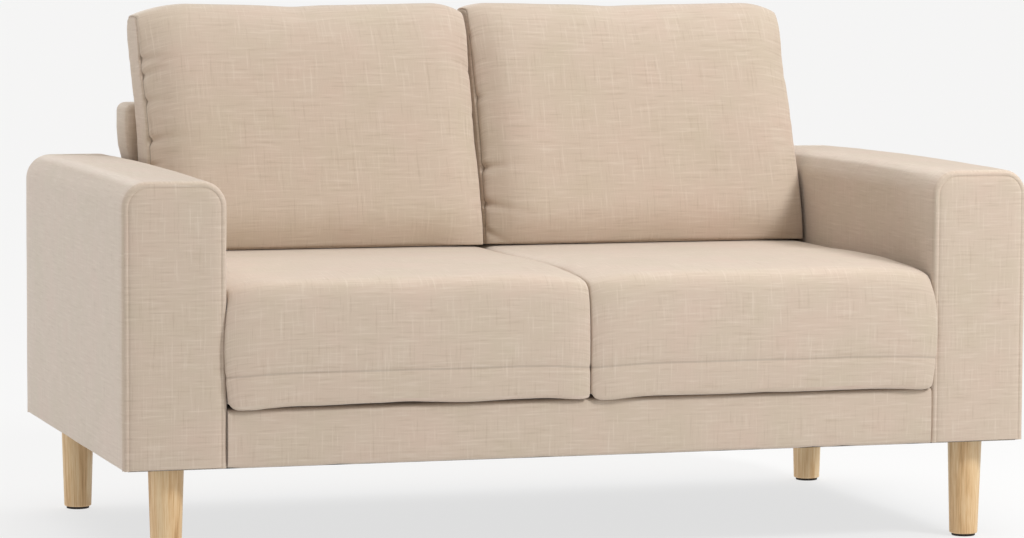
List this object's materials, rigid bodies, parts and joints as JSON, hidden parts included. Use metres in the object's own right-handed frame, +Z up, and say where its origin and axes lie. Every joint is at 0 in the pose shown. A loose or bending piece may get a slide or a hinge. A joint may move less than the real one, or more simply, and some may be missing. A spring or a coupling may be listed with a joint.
{
  "type": "two-seat sofa",
  "caption": "Compact upholstered sofa with round-topped track arms, loose seat and back cushions in slubbed linen-look fabric, and tapered wooden legs.",
  "frame": {"origin": "on the floor, under the centre of the sofa's bounding box", "axes": "+X along the sofa's length to a viewer's right, +Y from the front to the back, +Z up"},
  "size_m": [1.4, 0.759, 0.8075],
  "materials": {
    "linen_weave": "matte",
    "leg_wood": "satin",
    "felt": "matte",
    "zinc_steel": "satin",
    "spring_steel": "satin",
    "dust_cloth": "matte",
    "elastic_webbing": "matte",
    "felt_pad": "matte",
    "fibreboard": "matte",
    "foam": "matte",
    "frame_timber": "matte"
  },
  "bodies": {
    "sofa_frame": {"arm_left_bottom_rail": "frame_timber", "arm_left_cover": "linen_weave", "arm_left_front_panel": "linen_weave", "arm_left_front_post": "frame_timber", "arm_left_inner_panel": "fibreboard", "arm_left_outer_panel": "fibreboard", "arm_left_padding": "foam", "arm_left_rear_post": "frame_timber", "arm_left_top_rail": "frame_timber", "arm_right_bottom_rail": "frame_timber", "arm_right_cover": "linen_weave", "arm_right_front_panel": "linen_weave", "arm_right_front_post": "frame_timber", "arm_right_inner_panel": "fibreboard", "arm_right_outer_panel": "fibreboard", "arm_right_padding": "foam", "arm_right_rear_post": "frame_timber", "arm_right_top_rail": "frame_timber", "back_bottom_rail": "frame_timber", "back_centre_stile": "frame_timber", "back_cover": "linen_weave", "back_padding": "foam", "back_post_left": "frame_timber", "back_post_right": "frame_timber", "back_rear_board": "fibreboard", "back_top_rail": "frame_timber", "back_webbing": "elastic_webbing", "deck_fabric": "linen_weave", "deck_insulator": "felt_pad", "dust_cover": "dust_cloth", "frame_bolt_inserts": "zinc_steel", "frame_bolt_washers": "zinc_steel", "frame_bolts": "zinc_steel", "front_rail_cover": "linen_weave", "front_rail_padding": "foam", "leg_bolts": "zinc_steel", "leg_front_left": "leg_wood", "leg_front_right": "leg_wood", "leg_glides": "felt", "leg_inserts": "zinc_steel", "leg_rear_left": "leg_wood", "leg_rear_right": "leg_wood", "outside_back_panel": "linen_weave", "seat_centre_rail": "frame_timber", "seat_corner_blocks": "frame_timber", "seat_front_rail": "frame_timber", "seat_rear_rail": "frame_timber", "seat_side_rail_left": "frame_timber", "seat_side_rail_right": "frame_timber", "seat_springs": "spring_steel", "spring_clips": "spring_steel"},
    "seat_cushion_left": {"seat_cushion_foam_left": "foam", "seat_cushion_cover_left": "linen_weave"},
    "seat_cushion_right": {"seat_cushion_foam_right": "foam", "seat_cushion_cover_right": "linen_weave"},
    "back_cushion_left": {"back_cushion_filling_left": "foam", "back_cushion_cover_left": "linen_weave"},
    "back_cushion_right": {"back_cushion_filling_right": "foam", "back_cushion_cover_right": "linen_weave"}
  },
  "joints": [
    {"name": "seat_cushion_left_pull", "type": "slide", "parent": "sofa_frame", "child": "seat_cushion_left", "axis": [0, -1, 0], "range_m": [0, 0.7]},
    {"name": "seat_cushion_right_pull", "type": "slide", "parent": "sofa_frame", "child": "seat_cushion_right", "axis": [0, -1, 0], "range_m": [0, 0.7]},
    {"name": "back_cushion_left_lift", "type": "slide", "parent": "sofa_frame", "child": "back_cushion_left", "axis": [0, 0, 1], "range_m": [0, 0.45]},
    {"name": "back_cushion_right_lift", "type": "slide", "parent": "sofa_frame", "child": "back_cushion_right", "axis": [0, 0, 1], "range_m": [0, 0.45]}
  ]
}
